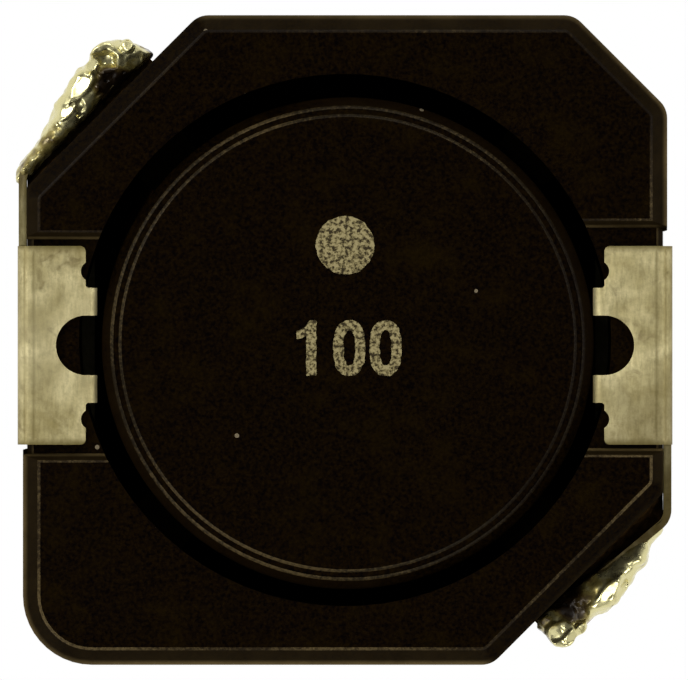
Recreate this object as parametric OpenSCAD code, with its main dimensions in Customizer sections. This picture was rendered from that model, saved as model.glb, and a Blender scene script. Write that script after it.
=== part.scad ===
// Shielded power inductor for surface mounting: a wound ferrite drum that stands in the bore
// of a square ferrite ring, with a tinned sheet-metal clip on each of two opposite sides.
// Millimetres, +Z up. The origin is the middle of the footprint, on the plane of the pads,
// the clips face -X and +X, and the wire ends come out at the -X +Y and the +X -Y corner.

/* [Ring core] */
// Width of the ring core, from clip side to clip side
core_w = 12.1; // [11.9:0.05:12.6]
// Length of the ring core, along the clip sides
core_l = 12.2; // [12:0.05:12.8]
// Height of the ring core
core_h = 5.9; // [5.2:0.1:7.5]
// Diameter of the bore
bore_d = 10; // [9.5:0.05:10.1]
// Leg of the two large corner cuts, where the wire ends come out
lead_cut = 3.3; // [3.1:0.05:3.5]
// Leg of the small corner cut that marks the first pad
key_cut = 1.75; // [1.2:0.05:2.2]
// Radius of the one round corner
round_corner = 1.3; // [0.8:0.05:1.6]
// Radius that blunts the ends of the corner cuts
cut_blunt = 0.45; // [0.35:0.05:0.6]
// Width of the bevel round the top lands
land_bevel = 0.3; // [0.2:0.02:0.32]
// Depth of the bevel round the top lands
land_drop = 0.2; // [0.1:0.02:0.24]
// Leg of the edge break round the underside
foot_break = 0.12; // [0.06:0.02:0.2]
// Depth of the relief on the two clip sides
side_relief = 0.08; // [0.04:0.02:0.14]
// Distance from the middle of the side to the closed end of the relief
relief_end = 2.06; // [2.02:0.02:2.4]

/* [Clip seats] */
// Depth of the seat under each top leg
seat_depth = 0.25; // [0.2:0.01:0.4]
// Width of the seat floor on the -X side
seat_w = 4.02; // [4:0.02:4.4]
// Width of the seat floor on the +X side
seat_w_right = 4.14; // [4.1:0.02:4.4]
// Run of the sloped seat walls
seat_slope = 0.14; // [0.06:0.02:0.2]
// Shift of the -X seat along its side, towards the closed end of the relief
seat_shift = 0.12; // [0.08:0.01:0.14]
// Shift of the +X seat along its side, towards the closed end of the relief
seat_shift_right = 0.04; // [0.02:0.01:0.08]
// Leg of the edge break between seat and side face
seat_break = 0.12; // [0.1:0.01:0.16]

/* [Drum core] */
// Running gap between flange and bore, on the radius
rim_gap = 0.38; // [0.33:0.01:0.45]
// Thickness of both flanges
flange_t = 0.94; // [0.8:0.02:1.1]
// Diameter of the post that carries the winding
post_d = 4.2; // [3.8:0.1:4.6]
// Depth of the drum's top below the lands
drum_sink = 0.1; // [0.05:0.01:0.2]
// Height of the drum's underside above the ring's underside
drum_lift = 0.1; // [0.05:0.01:0.2]
// Chamfer on the rim of the flanges
rim_chamfer = 0.16; // [0.1:0.01:0.2]
// Width of the fine step inside the rim
rim_step = 0.22; // [0.16:0.01:0.28]
// Height of the fine step
step_h = 0.04; // [0.02:0.01:0.06]
// Sideways shift of the drum in the bore, towards +X
drum_x = 0.05; // [-0.06:0.01:0.06]
// Sideways shift of the drum in the bore, towards +Y
drum_y = -0.06; // [-0.06:0.01:0.06]

/* [Winding] */
// Diameter of the enamelled wire
wire_d = 0.52; // [0.46:0.01:0.54]
// Play between neighbouring turns
turn_play = 0.02; // [0.02:0.01:0.04]
// Play between the wire and the grooves that it runs in
groove_play = 0.14; // [0.1:0.01:0.2]
// Sideways place of the rising wire on the corner cut, at -X +Y
end_u_left = 0.52; // [0.5:0.02:0.6]
// Sideways place of the rising wire on the corner cut, at +X -Y
end_u_right = 0.98; // [0.96:0.02:1.1]
// Height of the cut wire ends above the pads
end_z = 4.3; // [4.15:0.05:4.5]

/* [Terminal clips] */
// Thickness of the tinned sheet
sheet_t = 0.15; // [0.12:0.01:0.17]
// Width of the clips
clip_w = 3.73; // [3.5:0.01:3.76]
// Shift of both clips along Y
clip_y = -0.1; // [-0.1:0.01:0]
// Film of adhesive between clip and side face
bond_t = 0.03; // [0.02:0.01:0.05]
// Outer radius of the bends at the pad and the top leg
bend_r = 0.24; // [0.2:0.01:0.26]
// Length of the top leg
leg_len = 1.28; // [1.2:0.01:1.32]
// Length of the solder pad
pad_len = 1.4; // [1.3:0.01:1.42]
// Height of the pads' underside below the ring
pad_proud = 0.1; // [0.06:0.01:0.11]
// Radius of the half-round notch in the top leg
notch_r = 0.56; // [0.5:0.01:0.6]
// Width of the two tabs that hook over the edge of the bore
tab_w = 0.64; // [0.5:0.01:0.66]
// Taper of each tab's outer side, from the shoulder to the fold
tab_taper = 0.12; // [0.06:0.01:0.16]
// Radius of the top leg's two corners
leg_round = 0.1; // [0.06:0.01:0.14]
// Length of the folded tabs below the top leg
tab_drop = 0.6; // [0.3:0.05:0.9]
// Play between tab and bore
tab_play = 0.02; // [0.01:0.01:0.04]
// Inner radius of the fold between tab and top leg
fold_in = 0.02; // [0.01:0.01:0.04]
// Radius of the shallow reliefs beside the tabs
relief_r = 0.19; // [0.15:0.01:0.22]
// Depth of those reliefs behind the leg's shoulder
relief_in = 0.09; // [0.06:0.01:0.12]

/* [Wire arms] */
// Height of the arm's lower edge above the pads
arm_z = 3.1; // [2.9:0.05:3.2]
// Width of the arm
arm_w = 0.9; // [0.7:0.05:1]
// Inner radius of the arm's bend
arm_bend = 0.3; // [0.25:0.01:0.35]
// Length by which the arm overlaps the web that it grows from
arm_root = 0.2; // [0.1:0.05:0.3]
// Distance from the ring's corner to the bend, at -X +Y
arm_out_left = 0.12; // [0.1:0.01:0.2]
// Distance from the ring's corner to the bend, at +X -Y
arm_out_right = 0.32; // [0.3:0.01:0.36]
// Angle at which the arm stands off its corner cut, at -X +Y
splay_left = 0.5; // [0:0.5:3]
// Angle at which the arm stands off its corner cut, at +X -Y
splay_right = -5; // [-5.5:0.5:0]
// Length of the arm past the middle of the wire, at -X +Y
arm_past_left = 0.55; // [0.4:0.05:0.6]
// Length of the arm past the middle of the wire, at +X -Y
arm_past_right = 0.22; // [0.1:0.02:0.3]

/* [Solder and adhesive] */
// Film of solder between the arm and the wire
wire_film = 0.03; // [0.02:0.01:0.05]
// Thickness of the solder over the wire
solder_skin = 0.1; // [0.08:0.01:0.14]
// Length of the solder from its thin end to the wire, at -X +Y
solder_run_left = 2.6; // [2.2:0.1:2.6]
// Length of the solder from its thin end to the wire, at +X -Y
solder_run_right = 2.2; // [2:0.1:2.3]
// Thickness of the solder at its thin end, at -X +Y
solder_thin_left = 0.06; // [0.04:0.01:0.2]
// Thickness of the solder at its thin end, at +X -Y
solder_thin_right = 0.3; // [0.1:0.02:0.34]
// Depth by which each drop of solder overlaps the arm
solder_bite = 0.05; // [0.03:0.01:0.06]
// Half the height of the solder at its thin end
solder_half = 0.36; // [0.3:0.02:0.4]
// Rise of the solder towards the wire
solder_rise = 0.15; // [0.1:0.01:0.2]
// Gap between solder and corner cut
solder_gap = 0.05; // [0.03:0.01:0.08]
// Angle that each bead of adhesive spans in the gap round the drum
bead_arc = 14; // [8:1:24]
// Depth of the beads below the drum's top
bead_sink = 0.45; // [0.3:0.05:0.6]
// Height of the beads' underside above the underside of the flange
bead_rise = 0.1; // [0.06:0.01:0.14]

/* [Hidden] */
$fn = 64;

FERRITE = "#1d1712";
TINNED = "#b0a577";
SOLDER = "#c4c0ae";
COPPER = "#8a4a22";
EPOXY = "#15110e";

EPS = 0.02;                             // overshoot of a cut past the face that it opens

// Ring core
ring_z = pad_proud;
ring_top = ring_z + core_h;
bore_r = bore_d / 2;
half_w = core_w / 2;
half_l = core_l / 2;
cut_face = (half_w + half_l - lead_cut) / sqrt(2);  // distance of the large corner cuts
OUTLINE = [
    [-half_w, -half_l], [half_w - lead_cut, -half_l], [half_w, lead_cut - half_l],
    [half_w, half_l - key_cut], [half_w - key_cut, half_l],
    [lead_cut - half_w, half_l], [-half_w, half_l - lead_cut]
];
OUTLINE_R = [
    round_corner, cut_blunt, cut_blunt, cut_blunt, cut_blunt, cut_blunt, cut_blunt
];

// Clips
clip_x = half_w - side_relief + bond_t + sheet_t;   // outer face of the clips
leg_top = ring_top - seat_depth + sheet_t;
shoulder_x = clip_x - leg_len;
tab_out = notch_r + tab_w;                          // far edge of a tab, from the clip's middle
tab_face = sqrt(bore_r ^ 2 - (tab_out - clip_y) ^ 2) - tab_play;

// Drum core
flange_r = bore_r - rim_gap;
post_r = post_d / 2;
drum_z = ring_z + drum_lift;
drum_top = ring_top - drum_sink;
post_fillet = 0.12;

// Winding: layer 1 climbs, layer 2 comes back down and stops a turn above the start.
STEP = 15;                              // degrees from one ring of the swept wire to the next
SIDES = 8;
pitch = wire_d + turn_play;
wire_r = wire_d / 2;
coil_z = drum_z + flange_t + wire_r + turn_play;
window = drum_top - drum_z - 2 * flange_t - wire_d - 2 * turn_play;
turns = floor(window / pitch);
layer_1 = post_r + wire_r + turn_play;
layer_2 = layer_1 + pitch;
drop_r = bore_r - wire_r - turn_play;   // where the wire passes the lower flange
lead_z = ring_z + wire_r + turn_play;   // where it runs under the ring
coil_a = 225;                           // angle at which layer 1 starts and layer 2 ends
bend = 0.34;                            // length that each bend takes of the wire's straights
rise_z = 1.5;                           // where the rising wire has reached its place

// Arms, wire ends and solder: index 0 is the -X +Y corner, index 1 the +X -Y corner.
ARM_OUT = [arm_out_left, arm_out_right];
SPLAY = [splay_left, splay_right];
ARM_PAST = [arm_past_left, arm_past_right];
END_U = [end_u_left, end_u_right];
SOLDER_RUN = [solder_run_left, solder_run_right];
SOLDER_THIN = [solder_thin_left, solder_thin_right];
DROPS = 4;                              // drops of solder from the thin end to the wire
arm_x = clip_x - sheet_t - arm_bend;    // centre of the bend
arm_mid = arm_z + arm_w / 2;
solder_full = wire_film + wire_d + solder_skin;

function unit(v) = v / norm(v);
function polar(r, a, z) = [r * cos(a), r * sin(a), z];
function smooth(t) = t * t * (3 - 2 * t);

// A point given along a large corner cut (u), out from the axis (d) and up, for the cut at
// -X +Y, or at +X -Y with side = -1.
function at_cut(u, d, z, side = 1) = [side * (u - d) / sqrt(2), side * (u + d) / sqrt(2), z];

// A polyline with each inner corner replaced by a bend.
function bent(pts, cut = bend, n = 4) = [
    pts[0],
    for (i = [1 : len(pts) - 2])
        let (a = pts[i] + cut * unit(pts[i - 1] - pts[i]), b = pts[i] + cut * unit(pts[i + 1] - pts[i]))
            for (k = [0 : n])
                let (t = k / n) (1 - t) ^ 2 * a + 2 * t * (1 - t) * pts[i] + t ^ 2 * b,
    pts[len(pts) - 1]
];

// The straight run of arm i: where its outer face starts, how far that face is from the axis
// at u, and how long it is. The wire rises against it.
function cut_u(p) = (p.x + p.y) / sqrt(2);
function cut_d(p) = (p.y - p.x) / sqrt(2);
function arm_y(i) = half_l - lead_cut + side_relief + ARM_OUT[i];
function arm_turn(i) = 45 - SPLAY[i];
function turn_end(i) =
    let (a = 180 - arm_turn(i), r = arm_bend + sheet_t) [r * cos(a) - arm_x, r * sin(a) + arm_y(i)];
function arm_face(i, u) = cut_d(turn_end(i)) + tan(SPLAY[i]) * (u - cut_u(turn_end(i)));
function arm_run(i) = (END_U[i] + ARM_PAST[i] - cut_u(turn_end(i))) / cos(SPLAY[i]);
function rise_d(i) = arm_face(i, END_U[i]) + wire_film + wire_r;

// One lead from its cut end, down the corner, under the ring and up through the lower flange.
function lead(i, side) = [
    at_cut(END_U[i], rise_d(i), end_z, side),
    at_cut(END_U[i], rise_d(i), rise_z, side),
    at_cut(0, rise_d(i), lead_z, side),
    at_cut(0, drop_r, lead_z, side)
];

// The winding is centred on the drum, and its two ends spiral out to the lead grooves, which
// are centred on the bore: share says how much of the drum's shift a point follows.
function on_drum(r, a, z, share = 1) = polar(r, a, z) + share * [drum_x, drum_y, 0];
function spiral(inner, a, z) =
    let (share = smooth(a / 90)) on_drum(drop_r + (inner - drop_r) * share, coil_a - 90 + a, z, share);

run_in = [for (a = [STEP : STEP : 90 - STEP]) spiral(layer_1, a, coil_z)];
climb = [
    for (a = [0 : STEP : 360 * turns])
        on_drum(layer_1, coil_a + a, coil_z + pitch * a / 360)
];
crossover = [
    for (a = [STEP : STEP : 45])
        on_drum(layer_1 + pitch * smooth(a / 45), coil_a + a, coil_z + pitch * turns)
];
descent = [
    for (a = [45 + STEP : STEP : 360 * (turns - 1)])
        on_drum(layer_2, coil_a + a, coil_z + pitch * (turns - (a - 45) / 360))
];
out_z = coil_z + pitch * (1 + 45 / 360);
run_out = [
    for (a = [STEP : STEP : 90 - STEP])
        let (share = smooth(1 - a / 90))
            on_drum(drop_r + (layer_2 - drop_r) * share, coil_a + a, out_z, share)
];
start_lead = bent(concat(
    lead(0, 1), [polar(drop_r, coil_a - 90, coil_z), run_in[0]]
));
end_lead = bent(concat(
    lead(1, -1), [polar(drop_r, coil_a + 90, out_z), run_out[len(run_out) - 1]]
));
ROUTE = concat(
    start_lead, [for (i = [1 : len(run_in) - 1]) run_in[i]], climb, crossover, descent,
    [for (i = [0 : len(run_out) - 2]) run_out[i]], [for (i = [len(end_lead) - 1 : -1 : 0]) end_lead[i]]
);

// A tube of the given diameter along a route, with frames carried from ring to ring.
function tangents(p) = [
    for (i = [0 : len(p) - 1]) unit(p[min(i + 1, len(p) - 1)] - p[max(i - 1, 0)])
];
function flatten_to(v, t) = unit(v - (v * t) * t);

module swept_wire(route, d) {
    t = tangents(route);
    normals = [
        for (i = 0, v = flatten_to([1, 0.3, 0], t[0]); i < len(route);
             i = i + 1, v = i < len(route) ? flatten_to(v, t[i]) : v) v
    ];
    rings = [
        for (i = [0 : len(route) - 1]) for (k = [0 : SIDES - 1])
            route[i] + d / 2 * (cos(360 * k / SIDES) * normals[i] + sin(360 * k / SIDES) * cross(t[i], normals[i]))
    ];
    walls = [
        for (i = [0 : len(route) - 2]) for (k = [0 : SIDES - 1])
            let (a = i * SIDES + k, b = i * SIDES + (k + 1) % SIDES)
                each [[a, a + SIDES, b], [b, a + SIDES, b + SIDES]]
    ];
    first = [for (k = [0 : SIDES - 1]) k];
    last = [for (k = [SIDES - 1 : -1 : 0]) (len(route) - 1) * SIDES + k];
    polyhedron(rings, concat(walls, [first, last]), convexity = 10);
}

// What lies outside the arc that rounds corner p of an outline.
module corner_waste(before, p, after, r) {
    a = unit(before - p);
    b = unit(after - p);
    half = acos(a * b) / 2;
    c = p + unit(a + b) * r / sin(half);
    t = r / tan(half);
    difference() {
        polygon([c, c + 1.2 * (p + a * t - c), p - unit(a + b) * r, c + 1.2 * (p + b * t - c)]);
        translate(c) circle(r);
    }
}

module core_outline() {
    n = len(OUTLINE);
    difference() {
        polygon(OUTLINE);
        for (i = [0 : n - 1])
            corner_waste(OUTLINE[(i + n - 1) % n], OUTLINE[i], OUTLINE[(i + 1) % n], OUTLINE_R[i]);
    }
}

// The section that a bevel w wide and h deep removes, against an edge at x = 0.
function bevel_section(w, h, k = 0.1) = [
    [w * (1 + k), k * h], [-k * w, k * h], [-k * w, -h * (1 + k)]
];

// Bevels the whole outline of the ring at z = 0, downwards.
module outline_bevel(w, h) {
    n = len(OUTLINE);
    for (i = [0 : n - 1]) {
        p = OUTLINE[i];
        a = unit(OUTLINE[(i + n - 1) % n] - p);
        b = unit(OUTLINE[(i + 1) % n] - p);
        half = acos(a * b) / 2;
        c = p + unit(a + b) * OUTLINE_R[i] / sin(half);
        from = p + a * OUTLINE_R[i] / tan(half) - c;
        translate(c) rotate(atan2(from.y, from.x)) rotate_extrude(angle = 180 - 2 * half)
            polygon([for (s = bevel_section(w, h)) [OUTLINE_R[i] - s.x, s.y]]);
        translate(p) rotate([90, 0, 90 + atan2(b.y, b.x)]) translate([0, 0, round_len(i) - EPS])
            linear_extrude(norm(OUTLINE[(i + 1) % n] - p) - edge_ends(i) + 2 * EPS)
                polygon(bevel_section(w, h));
    }
}

// Length that the rounds at both ends take of outline edge i.
function round_len(i) =
    let (n = len(OUTLINE), p = OUTLINE[i],
         a = unit(OUTLINE[(i + n - 1) % n] - p), b = unit(OUTLINE[(i + 1) % n] - p))
        OUTLINE_R[i] / tan(acos(a * b) / 2);
function edge_ends(i) = round_len(i) + round_len((i + 1) % len(OUTLINE));

// Seats for one clip's legs, w wide and shifted by y, on the -X side.
module clip_seat(y, w) {
    pad_seat = sheet_t - pad_proud;
    translate([-half_w - EPS, y, ring_top]) rotate([90, 0, 90]) linear_extrude(half_w + EPS)
        polygon([
            [-w / 2, -seat_depth], [w / 2, -seat_depth], [w / 2 + seat_slope, 0],
            [w / 2 + seat_slope, 1], [-w / 2 - seat_slope, 1], [-w / 2 - seat_slope, 0]
        ]);
    translate([-half_w - EPS, y - w / 2, ring_z - 1]) cube([half_w, w, 1 + pad_seat]);
    for (z = [ring_top - seat_depth, ring_z + pad_seat])
        translate([side_relief - half_w, y, z]) rotate([0, 45, 0])
            cube([seat_break * sqrt(2), w, seat_break * sqrt(2)], center = true);
    translate([-half_w - 1, -relief_end, 0]) cube([1 + side_relief, core_l, ring_top + 1]);
}

// Groove under the ring for one lead, towards the -X +Y corner.
module lead_groove() {
    w = wire_d + 2 * groove_play;
    h = wire_d + 2 * groove_play;
    rotate(45) {
        translate([-w / 2, 0, ring_z - 1]) cube([w, cut_face + 1, 1 + h - w / 2]);
        translate([0, 0, ring_z + h - w / 2]) rotate([-90, 0, 0]) cylinder(d = w, h = cut_face + 1);
    }
}

module ring_core() {
    color(FERRITE) difference() {
        translate([0, 0, ring_z]) linear_extrude(core_h) core_outline();
        translate([0, 0, ring_z - 1]) cylinder(r = bore_r, h = core_h + 2, $fn = 128);
        translate([0, 0, ring_top]) outline_bevel(land_bevel, land_drop);
        translate([0, 0, ring_z]) mirror([0, 0, 1]) outline_bevel(foot_break, foot_break);
        clip_seat(-seat_shift, seat_w);
        rotate(180) clip_seat(-seat_shift_right, seat_w_right);
        for (side = [0, 180])
            rotate(side) lead_groove();
    }
}

// Half section of the drum, from the axis out.
module drum_section() {
    low = drum_z + flange_t;
    high = drum_top - flange_t;
    step_r = flange_r - rim_chamfer - rim_step;
    polygon([
        [0, drum_z], [flange_r - rim_chamfer, drum_z], [flange_r, drum_z + rim_chamfer],
        [flange_r, low], [post_r, low], [post_r, high], [flange_r, high],
        [flange_r, drum_top - step_h - rim_chamfer], [flange_r - rim_chamfer, drum_top - step_h],
        [step_r + step_h, drum_top - step_h], [step_r, drum_top], [0, drum_top]
    ]);
    for (z = [low, high - post_fillet])
        difference() {
            translate([post_r - EPS, z]) square([post_fillet + EPS, post_fillet]);
            translate([post_r + post_fillet, z == low ? z + post_fillet : z]) circle(post_fillet);
        }
}

module drum_core() {
    color(FERRITE) difference() {
        translate([drum_x, drum_y, 0]) rotate_extrude($fn = 128) drum_section();
        for (a = [135, 315])
            rotate(a) translate([drop_r, 0, drum_z - 1]) {
                cylinder(r = wire_r + groove_play, h = 1 + flange_t + EPS);
                translate([0, -wire_r - groove_play, 0])
                    cube([1, wire_d + 2 * groove_play, 1 + flange_t + EPS]);
            }
    }
}

module coil_wire() {
    color(COPPER) swept_wire(ROUTE, wire_d);
}

// Quarter of a bent sheet, whose outer face has radius r, in the quadrant signs q.
module sheet_bend(r, q) {
    intersection() {
        difference() {
            circle(r);
            circle(r - sheet_t);
        }
        scale([q.x, q.y]) square(r);
    }
}

// Section of a clip on the -X side: pad, web, top leg and the folded tab.
module clip_section() {
    fold_r = sheet_t + fold_in;
    translate([-clip_x, bend_r]) square([sheet_t, leg_top - 2 * bend_r]);
    translate([bend_r - clip_x, 0]) square([pad_len - bend_r, sheet_t]);
    translate([bend_r - clip_x, bend_r]) sheet_bend(bend_r, [-1, -1]);
    translate([bend_r - clip_x, leg_top - bend_r]) sheet_bend(bend_r, [-1, 1]);
    translate([bend_r - clip_x, leg_top - sheet_t])
        square([clip_x - bend_r - tab_face + sheet_t - fold_r, sheet_t]);
    translate([sheet_t - tab_face - fold_r, leg_top - fold_r]) sheet_bend(fold_r, [1, 1]);
    translate([-tab_face, leg_top - sheet_t - tab_drop])
        square([sheet_t, tab_drop + sheet_t - fold_r]);
}

// What is punched out of the top leg: all past its shoulder but the two tabs, the notch
// between them, a shallow relief beside each, and the leg's corners.
module leg_punch() {
    past = clip_x;
    difference() {
        translate([-shoulder_x, -clip_w]) square([past, 2 * clip_w]);
        for (s = [-1, 1])
            scale([1, s]) polygon([
                [-shoulder_x - leg_round, notch_r], [past, notch_r], [past, tab_out - tab_taper],
                [-tab_face - fold_in, tab_out - tab_taper], [-shoulder_x - leg_round, tab_out]
            ]);
    }
    translate([-shoulder_x, 0]) circle(notch_r);
    for (s = [-1, 1]) {
        translate([relief_r - relief_in - shoulder_x, s * (tab_out + relief_r)]) circle(relief_r);
        translate([-shoulder_x - leg_round, s * (clip_w / 2 - leg_round)]) difference() {
            scale([1, s]) square(2 * leg_round);
            circle(leg_round);
        }
    }
}

// The strip that reaches from the web's edge round the ring's corner and past the wire.
module arm_plan(edge, i) {
    turn = arm_turn(i);
    run = arm_run(i);
    translate([-clip_x, edge - arm_root]) square([sheet_t, arm_y(i) - edge + arm_root]);
    translate([-arm_x, arm_y(i)]) {
        intersection() {
            difference() {
                circle(arm_bend + sheet_t);
                circle(arm_bend);
            }
            polygon([[0, 0], [-1, 0], [-1, tan(turn)]]);
        }
        rotate(180 - turn) translate([arm_bend, -run]) square([sheet_t, run + EPS]);
    }
}

module arm(edge, i) {
    translate([0, 0, arm_z]) linear_extrude(arm_w) arm_plan(edge, i);
}

// A clip on the -X side, shifted by y, with arm i towards +Y.
module clip(y, i) {
    color(TINNED) {
        difference() {
            translate([0, y, 0]) rotate([90, 0, 0]) linear_extrude(clip_w, center = true) clip_section();
            translate([0, y, leg_top - sheet_t - tab_drop - 1])
                linear_extrude(tab_drop + sheet_t + 2) leg_punch();
        }
        arm(y + clip_w / 2, i);
    }
}

module terminal_left() {
    clip(clip_y, 0);
}

module terminal_right() {
    rotate(180) clip(-clip_y, 1);
}

// A drop of solder that stands h proud of arm i at u, and is 2 * half high.
module drop(i, u, h, half, z) {
    r = h / 2 + solder_bite;
    translate([u, arm_face(i, u) + h - r, z]) scale([1, 1, half / r]) sphere(r, $fn = 14);
}

// Drop k of the row that swells from the thin end to the wire, every second one raised.
module row_drop(i, k) {
    t = k / DROPS;
    lift = k % 2 == 0 ? 0 : solder_rise / 2;
    h = SOLDER_THIN[i] + (solder_full - SOLDER_THIN[i]) * t;
    drop(i, END_U[i] - SOLDER_RUN[i] * (1 - t), h, solder_half + solder_rise * t,
        arm_mid + solder_rise * t + lift);
}

// Solder that runs along arm i and closes round the wire, on the -X +Y corner.
module solder(y, i) {
    color(SOLDER) difference() {
        rotate(45) difference() {
            union() {
                for (k = [0 : DROPS - 1])
                    hull() {
                        row_drop(i, k);
                        row_drop(i, k + 1);
                    }
                hull() {
                    row_drop(i, DROPS);
                    drop(i, END_U[i] + ARM_PAST[i], solder_full - 0.8 * ARM_PAST[i], solder_half, arm_mid);
                }
            }
            translate([-half_w, 0, 0]) cube([core_w, cut_face + solder_gap, ring_top]);
            translate([END_U[i], rise_d(i), 0]) cylinder(r = wire_r, h = ring_top);
        }
        arm(y + clip_w / 2, i);
    }
}

module solder_joint_left() {
    solder(clip_y, 0);
}

module solder_joint_right() {
    rotate(180) solder(-clip_y, 1);
}

// Bead of adhesive between the upper flange and the bore, at angle a.
module core_adhesive(a) {
    z = drum_top - flange_t + bead_rise;
    h = flange_t - bead_sink - bead_rise;
    color(EPOXY) difference() {
        intersection() {
            translate([0, 0, z]) cylinder(r = bore_r, h = h, $fn = 128);
            rotate(a) translate([0, 0, z - 1]) linear_extrude(h + 2)
                polygon([
                    [0, 0], core_w * [cos(bead_arc / 2), -sin(bead_arc / 2)],
                    core_w * [cos(bead_arc / 2), sin(bead_arc / 2)]
                ]);
        }
        translate([drum_x, drum_y, z - 1]) cylinder(r = flange_r, h = h + 2, $fn = 128);
    }
}

ring_core();
drum_core();
coil_wire();
terminal_left();
terminal_right();
solder_joint_left();
solder_joint_right();
core_adhesive(45);  // core_adhesive_1
core_adhesive(135);  // core_adhesive_2
core_adhesive(225);  // core_adhesive_3
core_adhesive(315);  // core_adhesive_4
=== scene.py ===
import math
import random

import bmesh
import bpy
from mathutils import Matrix, Vector, noise


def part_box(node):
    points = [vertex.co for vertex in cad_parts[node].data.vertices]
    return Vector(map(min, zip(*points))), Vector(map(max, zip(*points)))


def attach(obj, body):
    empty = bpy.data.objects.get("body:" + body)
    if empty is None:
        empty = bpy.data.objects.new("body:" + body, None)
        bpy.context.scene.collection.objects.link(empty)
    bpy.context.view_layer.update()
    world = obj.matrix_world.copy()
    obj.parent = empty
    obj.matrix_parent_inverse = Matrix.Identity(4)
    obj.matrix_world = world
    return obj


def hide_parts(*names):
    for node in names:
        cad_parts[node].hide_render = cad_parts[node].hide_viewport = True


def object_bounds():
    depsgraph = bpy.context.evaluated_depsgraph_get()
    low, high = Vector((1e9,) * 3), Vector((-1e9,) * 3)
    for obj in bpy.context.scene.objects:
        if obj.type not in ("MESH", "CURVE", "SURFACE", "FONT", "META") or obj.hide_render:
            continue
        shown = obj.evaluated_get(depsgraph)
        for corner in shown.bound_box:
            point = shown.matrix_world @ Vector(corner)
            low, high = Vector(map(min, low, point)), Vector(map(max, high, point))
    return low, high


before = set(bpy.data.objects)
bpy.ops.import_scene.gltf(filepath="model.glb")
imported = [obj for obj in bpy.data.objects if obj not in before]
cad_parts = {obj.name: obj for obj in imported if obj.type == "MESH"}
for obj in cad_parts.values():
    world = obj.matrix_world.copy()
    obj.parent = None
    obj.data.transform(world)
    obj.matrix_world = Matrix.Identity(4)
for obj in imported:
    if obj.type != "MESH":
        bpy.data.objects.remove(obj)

cad_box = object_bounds()
MM = 0.001


# ---------------------------------------------------------------- Studio
# A pale table under a low ring of light. The sky is bright near the horizon and dim overhead,
# so that flat black ferrite stays black from above and every side of the part is lit.
def linear(code):
    """A colour written as sRGB hex, as the linear RGBA that shaders use."""
    values = [int(code[i:i + 2], 16) / 255 for i in (1, 3, 5)]
    return [v / 12.92 if v <= 0.04045 else ((v + 0.055) / 1.055) ** 2.4 for v in values] + [1.0]


def feed(tree, node, inputs):
    """Links each of a node's inputs to the socket given for it, or sets it to the value given."""
    for name, value in inputs.items():
        if isinstance(value, bpy.types.NodeSocket):
            tree.links.new(value, node.inputs[name])
        else:
            node.inputs[name].default_value = value


def add(tree, kind, inputs=None, **settings):
    """Adds a shader node with its settings and its inputs."""
    node = tree.nodes.new("ShaderNode" + kind)
    for name, value in settings.items():
        setattr(node, name, value)
    feed(tree, node, inputs or {})
    return node


def blend(tree, share, under, over):
    """The socket of one colour mixed over another, by a share from 0 to 1."""
    return add(tree, "Mix", {0: share, 6: under, 7: over}, data_type="RGBA").outputs[2]


FRAME_WIDTH = 12.915 * MM       # width of view at the height of the lands
FRAME_SHIFT = -0.02 * MM        # the view's middle lies this far from the part's, along X
LENS = 1500                     # long enough that the sides of the part stay hidden from above

scene = bpy.context.scene
scene.view_settings.view_transform = "Standard"
lens = bpy.data.cameras.new("camera")
lens.lens = LENS
lens.clip_start = 0.005
lens.clip_end = 5
camera = bpy.data.objects.new("camera", lens)
camera.location = (FRAME_SHIFT, 0, cad_box[1].z + FRAME_WIDTH * LENS / lens.sensor_width)
scene.collection.objects.link(camera)
scene.camera = camera

sky = bpy.data.worlds.new("studio_sky")
sky.use_nodes = True
sky.node_tree.nodes.clear()
tree = sky.node_tree
height = add(tree, "SeparateXYZ", {0: add(tree, "TexCoord").outputs["Generated"]})
fade = add(tree, "MapRange", {"Value": height.outputs["Z"], "From Min": 0.12, "From Max": 0.55,
                              "To Min": 0.92, "To Max": 0.1}, interpolation_type="SMOOTHSTEP")
plain = add(tree, "Math", {0: fade.outputs[0], 1: add(tree, "LightPath").outputs["Is Camera Ray"]},
            operation="MAXIMUM")
glow = add(tree, "Background", {"Color": plain.outputs[0], "Strength": 1.0})
add(tree, "OutputWorld", {"Surface": glow.outputs[0]})
scene.world = sky

TABLE = 3.0                     # side of the table, in metres
mesh = bpy.data.meshes.new("table")
mesh.from_pydata([(x * TABLE / 2, y * TABLE / 2, 0) for x, y in ((-1, -1), (1, -1), (1, 1), (-1, 1))],
                 [], [(0, 1, 2, 3)])
table = bpy.data.objects.new("table", mesh)
scene.collection.objects.link(table)

paper = bpy.data.materials.new("white_paper")
paper.use_nodes = True
paper.node_tree.nodes.clear()
tree = paper.node_tree
rays = add(tree, "LightPath")
seen = add(tree, "Math", {0: rays.outputs["Is Camera Ray"], 1: rays.outputs["Is Glossy Ray"]},
           operation="MAXIMUM")
seen = add(tree, "Math", {0: seen.outputs[0], 1: rays.outputs["Is Transmission Ray"]},
           operation="MAXIMUM")
shine = add(tree, "Emission", {"Color": (1, 1, 1, 1), "Strength": 1.0})
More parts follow.
